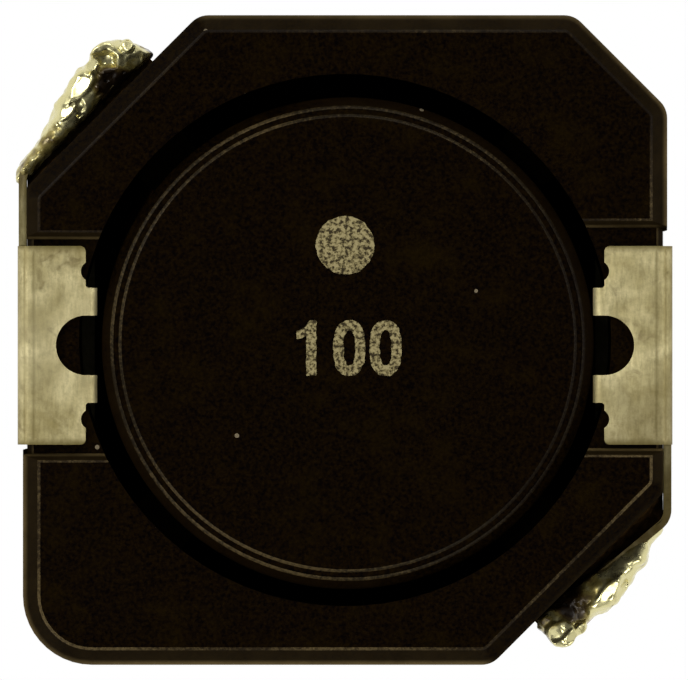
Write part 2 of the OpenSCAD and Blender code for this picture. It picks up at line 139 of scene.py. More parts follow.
# Beneath the part the paper has no glow of its own, and its colour is darkened there as painted shade.
# The painted shade reaches this far along X, along Y and across the two pairs of corner cuts.
PAINTED_SHADE_REACH = (6.0 * MM, 6.0 * MM, 10.2 * MM, 8.85 * MM)
SHADE_EDGE = 0.05 * MM
spot = add(tree, "SeparateXYZ", {0: add(tree, "TexCoord").outputs["Object"]})
rise = add(tree, "Math", {0: spot.outputs["X"], 1: spot.outputs["Y"]}, operation="ADD")
fall = add(tree, "Math", {0: spot.outputs["X"], 1: spot.outputs["Y"]}, operation="SUBTRACT")
outer = None
for value, half in zip((spot.outputs["X"], spot.outputs["Y"], rise.outputs[0], fall.outputs[0]), PAINTED_SHADE_REACH):
    size = add(tree, "Math", {0: value}, operation="ABSOLUTE")
    past = add(tree, "Math", {0: size.outputs[0], 1: half}, operation="SUBTRACT")
    if outer is None:
        outer = past
    else:
        outer = add(tree, "Math", {0: outer.outputs[0], 1: past.outputs[0]}, operation="MAXIMUM")
clear = add(tree, "MapRange", {"Value": outer.outputs[0], "From Min": 0.0, "From Max": SHADE_EDGE})
# The paper's colour: pale, and near-black beneath the part as painted shade.
shade = blend(tree, clear.outputs[0], linear("#1c1916"), linear("#e4e4e2"))
matt = add(tree, "BsdfDiffuse", {"Color": shade})
share = add(tree, "Math", {0: seen.outputs[0], 1: clear.outputs[0]}, operation="MULTIPLY")
both = add(tree, "MixShader", {0: share.outputs[0], 1: matt.outputs[0], 2: shine.outputs[0]})
add(tree, "OutputMaterial", {"Surface": both.outputs[0]})
mesh.materials.append(paper)

# Five soft lamps stand round the part, half-way up, the brightest on the -X +Y side. Each has
# its place round the part, in degrees, and its power in watts.
LAMPS = {"lamp_west": (150, 0.14), "lamp_north": (78, 0.09), "lamp_east": (5, 0.07),
         "lamp_south": (-65, 0.08), "lamp_south_west": (-135, 0.10)}
LAMP_REACH = 0.2                # metres from the part
LAMP_RISE = 44                  # degrees above the table
LAMP_SIZE = 0.07
for name, (around, watts) in LAMPS.items():
    lamp = bpy.data.lights.new(name, "AREA")
    lamp.shape = "DISK"
    lamp.size = LAMP_SIZE
    lamp.energy = watts
    holder = bpy.data.objects.new(name, lamp)
    a, e = math.radians(around), math.radians(LAMP_RISE)
    toward = Vector((math.cos(a) * math.cos(e), math.sin(a) * math.cos(e), math.sin(e)))
    holder.location = LAMP_REACH * toward
    holder.rotation_mode = "QUATERNION"
    holder.rotation_quaternion = holder.location.to_track_quat("Z", "Y")
    holder.visible_camera = False
    scene.collection.objects.link(holder)


# ---------------------------------------------------------------- Drum core
# A pressed and sintered manganese-zinc ferrite drum: a post between two flanges. The press
# leaves a fine step inside the rim, and handling rubs the step and the rim's crest pale; that
# paleness is partly a painted highlight.
FLANGE = 0.94 * MM              # thickness of a flange
POST_R = 2.1 * MM
POST_FILLET = 0.12 * MM
RIM_CHAMFER = 0.16 * MM
RIM_CREST = 0.09 * MM           # radius of the crest between the chamfer and the step
RIM_STEP = 0.22 * MM            # width of the step inside the rim
STEP_H = 0.04 * MM
EDGE_BREAK = 0.03 * MM          # on the flanges' other edges
DRUM_SEGMENTS = 288
WIRE_D = 0.52 * MM
NOTCHES = (135, 315)            # where the leads pass the lower flange, in degrees
GROOVE_PLAY = 0.14 * MM         # round the wire in those notches
BORE_R = 5.0 * MM
TURN_PLAY = 0.02 * MM           # between turns, and between wire and ferrite
DROP_R = BORE_R - WIRE_D / 2 - TURN_PLAY     # where the wire passes the lower flange


def piece_from(bm, name, materials, smooth_to=35):
    """Makes a piece of the part from a bmesh, smooth where faces meet flatter than an angle."""
    mesh = bpy.data.meshes.new(name)
    bm.normal_update()
    bm.to_mesh(mesh)
    bm.free()
    for face in mesh.polygons:
        face.use_smooth = True
    mesh.set_sharp_from_angle(angle=math.radians(smooth_to))
    for material in materials:
        mesh.materials.append(material)
    piece = bpy.data.objects.new(name, mesh)
    scene.collection.objects.link(piece)
    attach(piece, "root")
    return piece


def finish_of(name):
    """A new material with its shader: (material, node tree, shader)."""
    material = bpy.data.materials.new(name)
    material.use_nodes = True
    return material, material.node_tree, material.node_tree.nodes["Principled BSDF"]


def place_of(tree, stretch=(1, 1, 1)):
    """The point on the part, in metres, with each axis stretched for drawn-out patterns."""
    point = add(tree, "TexCoord").outputs["Object"]
    return add(tree, "VectorMath", {0: point, 1: stretch}, operation="MULTIPLY").outputs[0]


def per_mm(size):
    """The scale of a pattern whose grains are this many millimetres across."""
    return 1 / (size * MM)


def sintered_ferrite(name, bevel, crest=None):
    """Near-black brown ceramic: a matt skin of fine grains, open pores and a few pale specks."""
    material, tree, shader = finish_of(name)
    place = place_of(tree)
    grain = add(tree, "TexNoise", {"Vector": place, "Scale": per_mm(0.07), "Detail": 2.0, "Roughness": 0.75})
    cloud = add(tree, "TexNoise", {"Vector": place, "Scale": per_mm(0.9), "Detail": 4.0, "Roughness": 0.65})
    body = add(tree, "ValToRGB", {0: grain.outputs["Fac"]})
    for stop, at, code in zip(body.color_ramp.elements, (0.34, 0.7), ("#020000", "#130a00")):
        stop.position = at
        stop.color = linear(code)
    tint = add(tree, "MapRange", {"Value": cloud.outputs["Fac"], "From Min": 0.52, "From Max": 0.8,
                                  "To Min": 0.0, "To Max": 0.55})
    clouded = blend(tree, tint.outputs[0], body.outputs[0], linear("#1a1100"))
    # The press leaves its bevels smoother and paler than the ground lands.
    normal = add(tree, "NewGeometry").outputs["Normal"]
    facing = add(tree, "SeparateXYZ", {0: normal})
    sloped = add(tree, "MapRange", {"Value": facing.outputs["Z"], "From Min": 0.97, "From Max": 0.85})
    patchy = add(tree, "Math", {0: sloped.outputs[0], 1: cloud.outputs["Fac"]}, operation="MULTIPLY")
    # Flux smoke has dulled the bevels beside the two soldered corners, and they are darkened there as
    # painted shade from the arms and solder too.
    corner = add(tree, "Math", {0: facing.outputs["X"], 1: facing.outputs["Y"]}, operation="MULTIPLY")
    smoke_and_shade = add(tree, "MapRange", {"Value": corner.outputs[0], "From Min": -0.14, "From Max": -0.04,
                                    "To Min": 0.05, "To Max": 1.1})
    patchy = add(tree, "Math", {0: patchy.outputs[0], 1: smoke_and_shade.outputs[0]}, operation="MULTIPLY")
    # Bevels and walls that look inwards, such as those beside the clips and in the bore, are kept darker as
    # painted shade.
    outward = add(tree, "VectorMath", {0: normal, 1: place}, operation="DOT_PRODUCT").outputs["Value"]
    painted_recess_shade = add(tree, "MapRange", {"Value": outward, "From Min": -1 * MM, "From Max": 1 * MM,
                                       "To Min": 0.3})
    patchy = add(tree, "Math", {0: patchy.outputs[0], 1: painted_recess_shade.outputs[0]}, operation="MULTIPLY")
    pressed = blend(tree, patchy.outputs[0], clouded, linear(bevel))
    if crest is not None:
        # Tumbling has worn the outer edge palest, and that paleness is partly a painted highlight, painted
        # stronger on the +X and -Y sides as painted light. The worn band is densest at the foot of the bevel
        # and ends just below it, on the wall.
        up = add(tree, "SeparateXYZ", {0: place}).outputs["Z"]
        worn_and_highlit = add(tree, "MapRange", {"Value": up, "From Min": crest, "From Max": crest + 0.07 * MM,
                                      "To Min": 1.0, "To Max": 0.0}, interpolation_type="SMOOTHSTEP")
        wall = add(tree, "MapRange", {"Value": up, "From Min": crest - 0.1 * MM,
                                      "From Max": crest - 0.02 * MM})
        exposed = add(tree, "MapRange", {"Value": outward, "From Min": 0.0, "From Max": 1.5 * MM})
        for limit in (wall, exposed, patchy):
            worn_and_highlit = add(tree, "Math", {0: worn_and_highlit.outputs[0], 1: limit.outputs[0]}, operation="MULTIPLY")
        # Painted light from one side: the band is paler towards +X and -Y.
        painted_side_light = add(tree, "VectorMath", {0: place, 1: (40, -70, 0)}, operation="DOT_PRODUCT")
        painted_side_light = add(tree, "Math", {0: painted_side_light.outputs["Value"], 1: 1.5}, operation="ADD")
        worn_and_highlit = add(tree, "Math", {0: worn_and_highlit.outputs[0], 1: painted_side_light.outputs[0]}, operation="MULTIPLY",
                   use_clamp=True)
        pressed = blend(tree, worn_and_highlit.outputs[0], pressed, linear("#584a2e"))
    # Dust and lighter grains, drawn a little larger than life so that they show.
    dust = add(tree, "TexVoronoi", {"Vector": place, "Scale": per_mm(0.85)})
    near = add(tree, "Math", {0: dust.outputs["Distance"], 1: 0.05}, operation="LESS_THAN")
    chosen = add(tree, "SeparateColor", {0: dust.outputs["Color"]})
    few = add(tree, "Math", {0: chosen.outputs[0], 1: 0.5}, operation="GREATER_THAN")
    speck = add(tree, "Math", {0: near.outputs[0], 1: few.outputs[0]}, operation="MULTIPLY")
    colour = blend(tree, speck.outputs[0], pressed, linear("#6f6450"))
    pores = add(tree, "TexVoronoi", {"Vector": place, "Scale": per_mm(0.12)})
    pit = add(tree, "MapRange", {"Value": pores.outputs["Distance"], "From Min": 0.0, "From Max": 0.22})
    relief = add(tree, "Math", {0: pit.outputs[0], 1: grain.outputs["Fac"]}, operation="ADD")
    bump = add(tree, "Bump", {"Height": relief.outputs[0], "Strength": 0.35, "Distance": 0.006 * MM})
    gloss = add(tree, "MapRange", {"Value": grain.outputs["Fac"], "To Min": 0.4, "To Max": 0.6})
    feed(tree, shader, {"Base Color": colour, "Roughness": gloss.outputs[0],
                        "Normal": bump.outputs[0], "Specular IOR Level": 0.02})
    return material


def rubbed_highlit_ferrite(name, toward, dark, middle, pale):
    """The same ferrite where handling has rubbed an edge: paler, smoother, broken by chips. The paleness is
    partly a painted highlight, painted stronger towards one side as painted light.
    """
    material, tree, shader = finish_of(name)
    place = place_of(tree)
    chips = add(tree, "TexNoise", {"Vector": place, "Scale": per_mm(0.07), "Detail": 3.0, "Roughness": 0.75})
    reach = add(tree, "TexNoise", {"Vector": place, "Scale": per_mm(3.2), "Detail": 1.0})
    level = add(tree, "Math", {0: chips.outputs["Fac"], 1: reach.outputs["Fac"]}, operation="ADD")
    # Painted light: the paleness grows towards the side that toward points to.
    painted_side_light = add(tree, "VectorMath", {0: place, 1: toward}, operation="DOT_PRODUCT")
    level = add(tree, "Math", {0: level.outputs[0], 1: painted_side_light.outputs["Value"]}, operation="ADD")
    spread = add(tree, "MapRange", {"Value": level.outputs[0], "From Min": 0.75, "From Max": 1.3})
    ramp = add(tree, "ValToRGB", {0: spread.outputs[0]})
    ramp.color_ramp.elements[0].color = linear(dark)
    ramp.color_ramp.elements[1].color = linear(pale)
    ramp.color_ramp.elements.new(0.5).color = linear(middle)
    bump = add(tree, "Bump", {"Height": chips.outputs["Fac"], "Strength": 0.3, "Distance": 0.008 * MM})
    feed(tree, shader, {"Base Color": ramp.outputs[0], "Normal": bump.outputs[0], "Roughness": 0.45,
                        "Specular IOR Level": 0.06})
    return material


DRUM_FERRITE = sintered_ferrite("drum_ferrite", "#160e04")
# Its rub is painted paler towards -X, as painted light from that side.
DRUM_RIM = rubbed_highlit_ferrite("rubbed_highlit_drum_rim", (-22, 0, 0), "#100903", "#221b0e", "#4b3e26")


def arc_points(centre, radius, start, end, steps):
    """Points along an arc in the plane of a section, angles in degrees."""
    return [(centre[0] + radius * math.cos(math.radians(start + (end - start) * i / steps)),
             centre[1] + radius * math.sin(math.radians(start + (end - start) * i / steps)))
            for i in range(steps + 1)]


def turned_drum():
    """The drum as a turned section, with the two wire notches pressed into its lower flange."""
    low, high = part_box("drum_core")
    axis = (low + high) / 2
    flange_r = (high.x - low.x) / 2
    bottom, top = low.z, high.z
    ledge = top - STEP_H
    line_r = flange_r - RIM_CHAMFER + 0.02 * MM
    step_r = line_r - RIM_STEP
    # (radius, height, rubbed) from the middle of the top to the middle of the underside
    section = [(0, top, False), (step_r * 0.5, top, False), (step_r - 0.04 * MM, top, False),
               (step_r - 0.012 * MM, top - 0.003 * MM, True), (step_r + 0.014 * MM, top - 0.014 * MM, True),
               (step_r + 0.045 * MM, ledge, True), (line_r - 0.08 * MM, ledge, False)]
    crest = arc_points((line_r - RIM_CREST, ledge - RIM_CREST), RIM_CREST, 90, 35, 4)
    section += [(r, z, True) for r, z in crest]
    section += [(flange_r - EDGE_BREAK, ledge - RIM_CHAMFER + 0.025 * MM, False),
                (flange_r, ledge - RIM_CHAMFER - EDGE_BREAK, False),
                (flange_r, top - FLANGE + EDGE_BREAK, False), (flange_r - EDGE_BREAK, top - FLANGE, False)]
    middle_r, fillet = POST_R + POST_FILLET, POST_FILLET
    waist = arc_points((middle_r, top - FLANGE - fillet), fillet, 90, 180, 5)
    waist += arc_points((middle_r, bottom + FLANGE + fillet), fillet, 180, 270, 5)
    section += [(r, z, False) for r, z in waist]
    section += [(flange_r - EDGE_BREAK, bottom + FLANGE, False),
                (flange_r, bottom + FLANGE - EDGE_BREAK, False),
                (flange_r, bottom + RIM_CHAMFER, False), (flange_r - RIM_CHAMFER, bottom, False),
                (flange_r * 0.6, bottom, False), (0, bottom, False)]
    bm = bmesh.new()
    rings = []
    for radius, z, _ in section[1:-1]:
        ring = []
        for i in range(DRUM_SEGMENTS):
            a = 2 * math.pi * i / DRUM_SEGMENTS
            point = Vector((radius * math.cos(a), radius * math.sin(a), z)) + Vector((axis.x, axis.y, 0))
            if z < bottom + FLANGE + 0.01 * MM and radius > POST_R * 1.5:
                point = clear_of_notches(point)
            ring.append(bm.verts.new(point))
        rings.append(ring)
    for k in range(len(rings) - 1):
        for i in range(DRUM_SEGMENTS):
            j = (i + 1) % DRUM_SEGMENTS
            face = bm.faces.new((rings[k][i], rings[k + 1][i], rings[k + 1][j], rings[k][j]))
            face.material_index = 1 if section[k + 1][2] and section[k + 2][2] else 0
    for ring, z in ((rings[0], top), (rings[-1], bottom)):
        hub = bm.verts.new((axis.x, axis.y, z))
        for i in range(DRUM_SEGMENTS):
            bm.faces.new((hub, ring[i], ring[(i + 1) % DRUM_SEGMENTS]))
    bmesh.ops.recalc_face_normals(bm, faces=bm.faces)
    return piece_from(bm, "drum_core_sintered", [DRUM_FERRITE, DRUM_RIM])


def clear_of_notches(point):
    """Moves a point of the lower flange's rim in, out of the notch that a lead passes through."""
    half = WIRE_D / 2 + GROOVE_PLAY
    for around in NOTCHES:
        a = math.radians(around)
        out = Vector((math.cos(a), math.sin(a), 0))
        along = point.dot(out)
        across = point.dot(Vector((-out.y, out.x, 0)))
        if along > 0 and abs(across) < half:
            wall = DROP_R - math.sqrt(half ** 2 - across ** 2)
            if along > wall:
                point = point - out * (along - wall)
    return point


drum = turned_drum()
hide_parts("drum_core")


# ---------------------------------------------------------------- Winding
# One length of round copper wire under clear amber enamel, in two layers on the post. Both
# ends spiral out over the lower flange, dive through its notches and rise at the cut corners.
END_D = (6.913 * MM, 6.794 * MM)        # rising wire, out from the axis, at -X +Y and at +X -Y
END_U = (0.52 * MM, 0.98 * MM)          # and along its corner cut
WIRE_END = 4.0 * MM                     # height of the wire's cut ends
RISE_Z = 1.5 * MM                       # height from which they rise straight up
START_ANGLE = 225                       # where the first turn starts, in degrees
TURN_STEP = 6                           # degrees between points of a turn


def at_cut(u, d, z, side):
    """A point along a corner cut (u), out from the axis (d) and up; side is 1 at -X +Y."""
    return Vector((side * (u - d) / math.sqrt(2), side * (u + d) / math.sqrt(2), z))


def wire_route():
    """The wire's middle line from one cut end to the other, in metres."""
    drum_low, drum_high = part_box("drum_core")
    shift = Vector(((drum_low.x + drum_high.x) / 2, (drum_low.y + drum_high.y) / 2, 0))
    ring_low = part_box("ring_core")[0]
    pitch = WIRE_D + TURN_PLAY
    first = POST_R + WIRE_D / 2 + TURN_PLAY
    second = first + pitch
    base = drum_low.z + FLANGE + WIRE_D / 2 + TURN_PLAY
    window = drum_high.z - drum_low.z - 2 * FLANGE - WIRE_D - 2 * TURN_PLAY
    turns = math.floor(window / pitch + 1e-6)
    under = ring_low.z + WIRE_D / 2 + TURN_PLAY
    step = TURN_STEP

    def smooth(t):
        return t * t * (3 - 2 * t)

    def on_drum(radius, angle, z, share=1.0):
        a = math.radians(START_ANGLE + angle)
        return Vector((radius * math.cos(a), radius * math.sin(a), z)) + share * shift

    def lead(u, out, side):
        return [at_cut(u, out, WIRE_END, side), at_cut(u, out, RISE_Z, side),
                at_cut(0, out, under, side), at_cut(0, DROP_R, under, side)]

    def bent(points, reach=0.34 * MM, steps=8):
        line = [points[0]]
        for before, here, after in zip(points, points[1:], points[2:]):
            a = here + reach * (before - here).normalized()
            b = here + reach * (after - here).normalized()
            line += [(1 - t) ** 2 * a + 2 * t * (1 - t) * here + t * t * b
                     for t in (k / steps for k in range(steps + 1))]
        return line + [points[-1]]

    def swirl(inner, angle, z):
        share = smooth(angle / 90)
        return on_drum(DROP_R + (inner - DROP_R) * share, angle - 90, z, share)

    run_in = [swirl(first, a, base) for a in range(15, 90, step)]
    climb = [on_drum(first, a, base + pitch * a / 360) for a in range(0, 360 * turns + 1, step)]
    cross = [on_drum(first + pitch * smooth(a / 45), 360 * turns + a, base + pitch * turns)
             for a in range(9, 46, 9)]
    end_turn = 360 * (2 * turns - 1)
    down = [on_drum(second, 360 * turns + a, base + pitch * (turns - (a - 45) / 360))
            for a in range(45 + step, 360 * (turns - 1) + 1, step)]
    out_z = base + pitch * (1 + 45 / 360)
    run_out = []
    for a in range(step, 76, step):
        share = smooth(1 - a / 90)
        run_out.append(on_drum(DROP_R + (second - DROP_R) * share, end_turn + a, out_z, share))
    a = math.radians(NOTCHES[0])
    top_in = Vector((DROP_R * math.cos(a), DROP_R * math.sin(a), base))
    top_out = Vector((-top_in.x, -top_in.y, out_z))
    start_lead = bent(lead(END_U[0], END_D[0], 1) + [top_in, run_in[0]])
    end_lead = bent(lead(END_U[1], END_D[1], -1) + [top_out, run_out[-1]])
    return start_lead + run_in[1:] + climb + cross + down + run_out[:-1] + end_lead[::-1]


def enamelled_copper():
    """Polyurethane-enamelled copper: a clear amber coat over drawn copper, with a soft gloss."""
    material, tree, shader = finish_of("enamelled_copper")
    place = place_of(tree)
    hue = add(tree, "TexNoise", {"Vector": place, "Scale": per_mm(0.6), "Detail": 2.0})
    colour = blend(tree, hue.outputs["Fac"], linear("#663310"), linear("#a06423"))
    drawn = add(tree, "TexNoise", {"Vector": place, "Scale": per_mm(0.08), "Detail": 1.0})
    bump = add(tree, "Bump", {"Height": drawn.outputs["Fac"], "Strength": 0.15, "Distance": 0.004 * MM})
    feed(tree, shader, {"Base Color": colour, "Normal": bump.outputs[0], "Metallic": 0.85,
                        "Roughness": 0.3, "Coat Weight": 0.35, "Coat Roughness": 0.12})
    return material


def tube(name, route, radius, sides, material):
    """A closed round tube along a route, with frames carried from ring to ring."""
    bm = bmesh.new()
    rings = []
    normal = Vector((1, 0.3, 0))
    for i, point in enumerate(route):
        along = (route[min(i + 1, len(route) - 1)] - route[max(i - 1, 0)]).normalized()
        normal = (normal - normal.dot(along) * along).normalized()
        other = along.cross(normal)
        rings.append([bm.verts.new(point + radius * (math.cos(a) * normal + math.sin(a) * other))
                      for a in (2 * math.pi * k / sides for k in range(sides))])
    for low_ring, high_ring in zip(rings, rings[1:]):
        for k in range(sides):
            j = (k + 1) % sides
            bm.faces.new((low_ring[k], low_ring[j], high_ring[j], high_ring[k]))
    bm.faces.new(rings[0][::-1])
    bm.faces.new(rings[-1])
    return piece_from(bm, name, [material], smooth_to=50)


winding = tube("winding", wire_route(), WIRE_D / 2, 16, enamelled_copper())
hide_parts("coil_wire")


# ---------------------------------------------------------------- Ring core
# A pressed ferrite ring with a round bore. The bevel round its lands comes from the press, and
# its crisp edges are the first that rub pale; that paleness is partly a painted highlight.
LAND_BEVEL_DROP = 0.2 * MM      # from the lands down to the foot of their bevel
LAND_EASE = 0.03 * MM           # width of the rubbed line round the lands
ring_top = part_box("ring_core")[1].z
RING_FERRITE = sintered_ferrite("ring_ferrite", "#221a0c", ring_top - LAND_BEVEL_DROP)
# Its rubbed line is painted paler towards -Y, as painted light from that side.
LAND_LINE = rubbed_highlit_ferrite("rubbed_highlit_land_line", (6, -20, 0), "#120b04", "#271e0f", "#53462c")


def eased_copy(node, name, materials, width, chosen, edge_slot, sharp=20):
    """A copy of a CAD solid with the chosen sharp edges eased, the new faces in their own slot."""
    bm = bmesh.new()
    bm.from_mesh(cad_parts[node].data)
    bmesh.ops.remove_doubles(bm, verts=bm.verts, dist=1e-7)
    bmesh.ops.dissolve_limit(bm, angle_limit=math.radians(0.5), verts=bm.verts, edges=bm.edges)
    for face in bm.faces:
        face.material_index = 0
    bm.normal_update()
    edges = [e for e in bm.edges
             if len(e.link_faces) == 2 and e.calc_face_angle(0) > math.radians(sharp) and chosen(e)]
    bmesh.ops.bevel(bm, geom=edges, offset=width, segments=2, profile=0.5, affect="EDGES",
                    material=edge_slot, clamp_overlap=True)
    return piece_from(bm, name, materials, smooth_to=25)


def on_land_edge(edge):
    """True for the edges of the top lands, apart from those on the bore."""
    middle = (edge.verts[0].co + edge.verts[1].co) / 2
    level = all(v.co.z > ring_top - 0.01 * MM for v in edge.verts)
    return level and middle.xy.length > BORE_R * 1.002


ring = eased_copy("ring_core", "ring_core_sintered", [RING_FERRITE, LAND_LINE], LAND_EASE,
                  on_land_edge, edge_slot=1)
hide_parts("ring_core")


# ---------------------------------------------------------------- Adhesive beads
# Four beads of dark filled epoxy, cured in the gap, keep the drum centred in the bore.
def filled_epoxy():
    """Dark epoxy with mineral filler: a soft, slightly orange-peeled shine."""
    material, tree, shader = finish_of("filled_epoxy")
    peel = add(tree, "TexNoise", {"Vector": place_of(tree), "Scale": per_mm(0.12), "Detail": 2.0})
    shade = blend(tree, peel.outputs["Fac"], linear("#010100"), linear("#030201"))
    bump = add(tree, "Bump", {"Height": peel.outputs["Fac"], "Strength": 0.4, "Distance": 0.01 * MM})
    feed(tree, shader, {"Base Color": shade, "Normal": bump.outputs[0], "Roughness": 0.6,
                        "Specular IOR Level": 0.0})
    return material


EPOXY = filled_epoxy()
for number in range(1, 5):
    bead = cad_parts[f"core_adhesive_{number}"]
    bead.data.materials.clear()
    bead.data.materials.append(EPOXY)


# ---------------------------------------------------------------- Terminal clips
# Each clip is stamped from 0.15 mm sheet and dull tin-plated: pad, web, notched top leg, two
# tabs hooked over the bore's edge, and an arm that reaches round the corner to the wire.
CLIP_MIDDLE = -0.1 * MM         # middle of both top legs, along Y
CLIP_HALF = 1.865 * MM          # half their width
CLIP_EASE = 0.016 * MM          # the burnished edges of the sheet


def dull_tin():
    """Electroplated tin on rolled sheet: straw-grey, matt, clouded and faintly scratched."""
    material, tree, shader = finish_of("dull_tin_plate")
    place = place_of(tree)
    drawn = place_of(tree, (1, 0.2, 1))
    roll = add(tree, "TexNoise", {"Vector": drawn, "Scale": per_mm(0.06), "Detail": 2.0, "Roughness": 0.6})
    mottle = add(tree, "TexNoise", {"Vector": place, "Scale": per_mm(0.09), "Detail": 4.0,
                                    "Roughness": 0.75})
    cloud = add(tree, "TexNoise", {"Vector": place, "Scale": per_mm(0.75), "Detail": 3.0, "Distortion": 0.4})
    stain = add(tree, "TexNoise", {"Vector": place, "Scale": per_mm(0.45), "Detail": 3.0, "Distortion": 1.2})
    base = add(tree, "ValToRGB", {0: cloud.outputs["Fac"]})
    for stop, at, code in zip(base.color_ramp.elements, (0.32, 0.66), ("#a89a66", "#e6d9a4")):
        stop.position = at
        stop.color = linear(code)
    fine = add(tree, "Math", {0: roll.outputs["Fac"], 1: mottle.outputs["Fac"]}, operation="ADD")
    grit = add(tree, "MapRange", {"Value": fine.outputs[0], "From Min": 0.85, "From Max": 1.25,
                                  "To Max": 0.45})
    grained = blend(tree, grit.outputs[0], base.outputs[0], linear("#7d7247"))
    spill = add(tree, "MapRange", {"Value": stain.outputs["Fac"], "From Min": 0.62, "From Max": 0.72,
                                   "To Max": 0.4})
    stained = blend(tree, spill.outputs[0], grained, linear("#6b5a2c"))
    # Flux has run over the arms, near the two corner cuts that carry the wire ends.
    slant = add(tree, "VectorMath", {0: place, 1: (-math.sqrt(0.5), math.sqrt(0.5), 0)},
                operation="DOT_PRODUCT")
    out = add(tree, "Math", {0: slant.outputs["Value"]}, operation="ABSOLUTE")
    film = add(tree, "MapRange", {"Value": out.outputs[0], "From Min": 5.7 * MM, "From Max": 6.5 * MM,
                                  "To Min": -0.5, "To Max": 0.35})
    fluxed = add(tree, "Math", {0: film.outputs[0], 1: stain.outputs["Fac"]}, operation="ADD",
                 use_clamp=True)
    browned = blend(tree, fluxed.outputs[0], stained, linear("#4a3b18"))
    # Painted shade in bands beside the fold, and a darker line along the clip's two ends.
    where = add(tree, "SeparateXYZ", {0: place})
    across = add(tree, "Math", {0: where.outputs["X"]}, operation="ABSOLUTE")
    fold = add(tree, "MapRange", {"Value": across.outputs[0], "From Min": 5.6 * MM, "From Max": 6.15 * MM})
    painted_fold_shade = add(tree, "ValToRGB", {0: fold.outputs[0]})
    for stop, level in ((0.36, 0.0), (0.45, 0.5), (0.53, 0.05), (0.66, 0.0), (0.76, 0.6), (0.83, 0.05)):
        painted_fold_shade.color_ramp.elements.new(stop).color = (level, level, level, 1)
    painted_fold_shade.color_ramp.elements[0].color = (0, 0, 0, 1)
    painted_fold_shade.color_ramp.elements[-1].color = (0.6, 0.6, 0.6, 1)
    along = add(tree, "Math", {0: where.outputs["Y"], 1: -CLIP_MIDDLE}, operation="ADD")
    along = add(tree, "Math", {0: along.outputs[0]}, operation="ABSOLUTE")
    ends = add(tree, "MapRange", {"Value": along.outputs[0], "From Min": CLIP_HALF - 0.13 * MM,
                                  "From Max": CLIP_HALF - 0.02 * MM, "To Max": 0.75})
    over = add(tree, "MapRange", {"Value": along.outputs[0], "From Min": CLIP_HALF + 0.02 * MM,
                                  "From Max": CLIP_HALF + 0.05 * MM, "To Min": 1.0, "To Max": 0.0})
    ends = add(tree, "Math", {0: ends.outputs[0], 1: over.outputs[0]}, operation="MULTIPLY")
    fold_shade_and_end_line = add(tree, "Math", {0: painted_fold_shade.outputs[0], 1: ends.outputs[0]}, operation="MAXIMUM")
    fold_shaded = blend(tree, fold_shade_and_end_line.outputs[0], browned, linear("#655826"))
    # The -Y end of the +X clip has tarnished more than the rest.
    reach = add(tree, "VectorMath", {0: place, 1: (30, -90, 0)}, operation="DOT_PRODUCT")
    aged = add(tree, "MapRange", {"Value": reach.outputs["Value"], "From Min": 0.2, "From Max": 0.3,
                                  "To Min": 0.04, "To Max": 0.45})
    final = blend(tree, aged.outputs[0], fold_shaded, linear("#5d4f26"))
    # Probing has wiped the middle of the -X clip clean.
    halfway = add(tree, "MapRange", {"Value": along.outputs[0], "From Min": 0.4 * MM,
                                     "From Max": 1.3 * MM, "To Min": 0.16, "To Max": 0.0})
    leftmost = add(tree, "MapRange", {"Value": where.outputs["X"], "From Min": 5 * MM,
                                      "From Max": -5 * MM, "To Min": 0.2})
    wiped = add(tree, "Math", {0: halfway.outputs[0], 1: leftmost.outputs[0]}, operation="MULTIPLY")
    final = blend(tree, wiped.outputs[0], final, linear("#fff4c4"))
    gloss = add(tree, "MapRange", {"Value": mottle.outputs["Fac"], "To Min": 0.42, "To Max": 0.62})
    bump = add(tree, "Bump", {"Height": fine.outputs[0], "Strength": 0.4, "Distance": 0.008 * MM})
    feed(tree, shader, {"Base Color": final, "Roughness": gloss.outputs[0],
                        "Normal": bump.outputs[0], "Metallic": 0.7})
    return material


TIN = dull_tin()
for side in ("left", "right"):
    clip = eased_copy(f"terminal_{side}", f"clip_{side}", [TIN], CLIP_EASE, lambda edge: True,
                      edge_slot=0, sharp=40)
    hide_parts(f"terminal_{side}")


